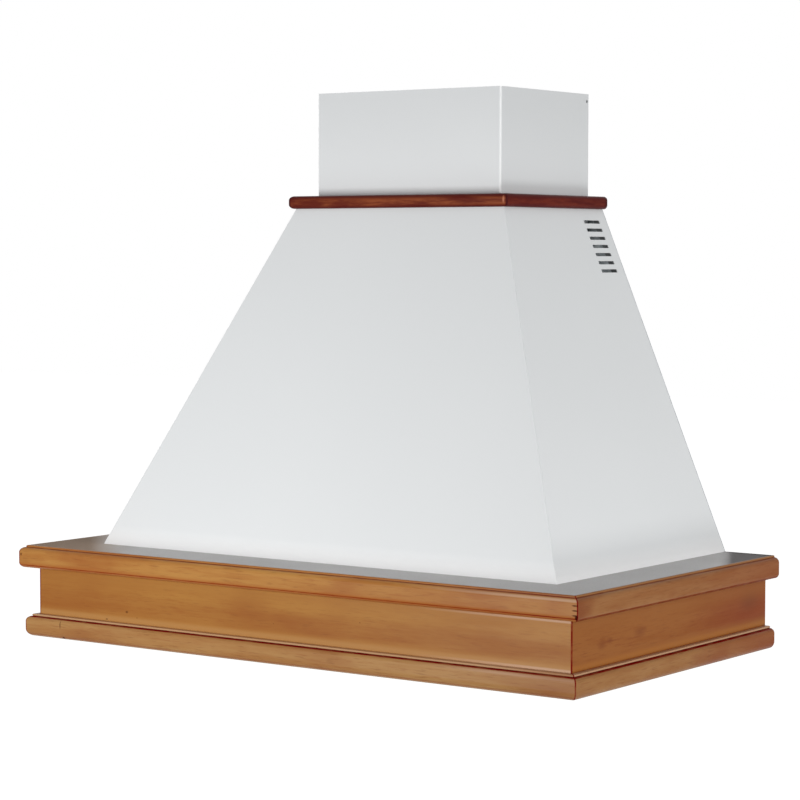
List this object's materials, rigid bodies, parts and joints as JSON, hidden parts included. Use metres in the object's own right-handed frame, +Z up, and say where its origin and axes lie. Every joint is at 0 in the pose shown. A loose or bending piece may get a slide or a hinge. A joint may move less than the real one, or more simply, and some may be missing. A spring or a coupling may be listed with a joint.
{
  "type": "range hood",
  "caption": "Wall-mounted pyramid chimney hood: white sheet-steel canopy and sliding sleeve on a moulded wooden frame, with blower, flaps, filters and push buttons.",
  "frame": {"origin": "centre of the rectangle of four wall-screw holes, on the wall face of the back panel", "axes": "+Y into the wall, +X along the wall to the right as seen from the room, +Z up; the front of the hood faces -Y"},
  "size_m": [0.9, 0.51, 0.747],
  "materials": {
    "stained_wood": "satin varnish over honey-brown stain",
    "dark_trim_wood": "satin varnish over dark red-brown stain",
    "plain_wood": "sawn, unfinished",
    "grey_shelf": "satin grey",
    "white_steel": "satin white enamel",
    "galvanised": "galvanised",
    "panel_steel": "satin",
    "aluminium": "satin",
    "mesh": "expanded mesh",
    "black_plastic": "fine grain",
    "grey_plastic": "moulded",
    "button_plastic": "gloss",
    "lamp_glass": "frosted",
    "chrome": "polished",
    "rubber": "matt",
    "steel": "turned",
    "zinc_screws": "zinc plated"
  },
  "bodies": {
    "hood": {"back_panel": "galvanised", "back_rivets": "zinc_screws", "base_moulding_front": "stained_wood", "base_moulding_left": "stained_wood", "base_moulding_right": "stained_wood", "blower_bracket_left": "galvanised", "blower_bracket_right": "galvanised", "body_screws": "zinc_screws", "canopy_shell": "white_steel", "capacitor": "aluminium", "chassis_frame": "galvanised", "control_bezel": "black_plastic", "corner_blocks": "plain_wood", "cornice_front": "stained_wood", "cornice_left": "stained_wood", "cornice_right": "stained_wood", "duct_collar": "black_plastic", "flap_pin": "steel", "frame_screws": "zinc_screws", "frieze_board_front": "stained_wood", "frieze_board_left": "stained_wood", "frieze_board_right": "stained_wood", "intake_panel": "panel_steel", "lamp_bezel_left": "chrome", "lamp_bezel_right": "chrome", "lamp_housing_left": "aluminium", "lamp_housing_right": "aluminium", "lamp_lens_left": "lamp_glass", "lamp_lens_right": "lamp_glass", "motor_body": "galvanised", "motor_spider": "galvanised", "mount_grommets": "rubber", "neck_trim_front": "dark_trim_wood", "neck_trim_left": "dark_trim_wood", "neck_trim_right": "dark_trim_wood", "rear_rail": "plain_wood", "scroll_left_half": "galvanised", "scroll_right_half": "galvanised", "shelf_plate": "grey_shelf", "sleeve_stops": "galvanised", "switch_box": "grey_plastic", "terminal_box": "grey_plastic", "terminal_lid": "grey_plastic", "wiring_harness": "rubber"},
    "chimney": {"chimney_sleeve": "white_steel"},
    "blower_wheel": {"impeller": "grey_plastic", "motor_shaft": "steel"},
    "front_flap": {"flap_front": "black_plastic"},
    "rear_flap": {"flap_rear": "black_plastic"},
    "left_filter": {"filter_frame_left": "aluminium", "filter_mesh_left": "mesh"},
    "right_filter": {"filter_frame_right": "aluminium", "filter_mesh_right": "mesh"},
    "left_latch": {"filter_latch_left": "black_plastic"},
    "right_latch": {"filter_latch_right": "black_plastic"},
    "button_light_cap": {"button_light": "button_plastic"},
    "button_off_cap": {"button_off": "button_plastic"},
    "button_speed_1_cap": {"button_speed_1": "button_plastic"},
    "button_speed_2_cap": {"button_speed_2": "button_plastic"},
    "button_speed_3_cap": {"button_speed_3": "button_plastic"}
  },
  "joints": [
    {"name": "chimney_slide", "type": "slide", "parent": "hood", "child": "chimney", "axis": [0, 0, 1], "range_m": [0, 0.2]},
    {"name": "impeller_spin", "type": "hinge", "parent": "hood", "child": "blower_wheel", "pos_m": [0, -0.18, -0.09], "axis": [1, 0, 0], "continuous": true},
    {"name": "flap_front_hinge", "type": "hinge", "parent": "hood", "child": "front_flap", "pos_m": [0, -0.1125, 0.045], "axis": [-1, 0, 0], "range_deg": [0, 75]},
    {"name": "flap_rear_hinge", "type": "hinge", "parent": "hood", "child": "rear_flap", "pos_m": [0, -0.1125, 0.045], "axis": [1, 0, 0], "range_deg": [0, 75]},
    {"name": "filter_left_drop", "type": "hinge", "parent": "hood", "child": "left_filter", "pos_m": [-0.16, -0.1, -0.29], "axis": [1, 0, 0], "range_deg": [0, 70]},
    {"name": "latch_left_slide", "type": "slide", "parent": "left_filter", "child": "left_latch", "axis": [0, 1, 0], "range_m": [0, 0.006], "stiffness_N_per_m": 300, "springref_m": -0.003},
    {"name": "filter_right_drop", "type": "hinge", "parent": "hood", "child": "right_filter", "pos_m": [0.16, -0.1, -0.29], "axis": [1, 0, 0], "range_deg": [0, 70]},
    {"name": "latch_right_slide", "type": "slide", "parent": "right_filter", "child": "right_latch", "axis": [0, 1, 0], "range_m": [0, 0.006], "stiffness_N_per_m": 300, "springref_m": -0.003},
    {"name": "button_light_press", "type": "slide", "parent": "hood", "child": "button_light_cap", "axis": [0, 0, 1], "range_m": [0, 0.0025], "stiffness_N_per_m": 400, "springref_m": -0.002},
    {"name": "button_off_press", "type": "slide", "parent": "hood", "child": "button_off_cap", "axis": [0, 0, 1], "range_m": [0, 0.0025], "stiffness_N_per_m": 400, "springref_m": -0.002},
    {"name": "button_speed_1_press", "type": "slide", "parent": "hood", "child": "button_speed_1_cap", "axis": [0, 0, 1], "range_m": [0, 0.0025], "stiffness_N_per_m": 400, "springref_m": -0.002},
    {"name": "button_speed_2_press", "type": "slide", "parent": "hood", "child": "button_speed_2_cap", "axis": [0, 0, 1], "range_m": [0, 0.0025], "stiffness_N_per_m": 400, "springref_m": -0.002},
    {"name": "button_speed_3_press", "type": "slide", "parent": "hood", "child": "button_speed_3_cap", "axis": [0, 0, 1], "range_m": [0, 0.0025], "stiffness_N_per_m": 400, "springref_m": -0.002}
  ]
}
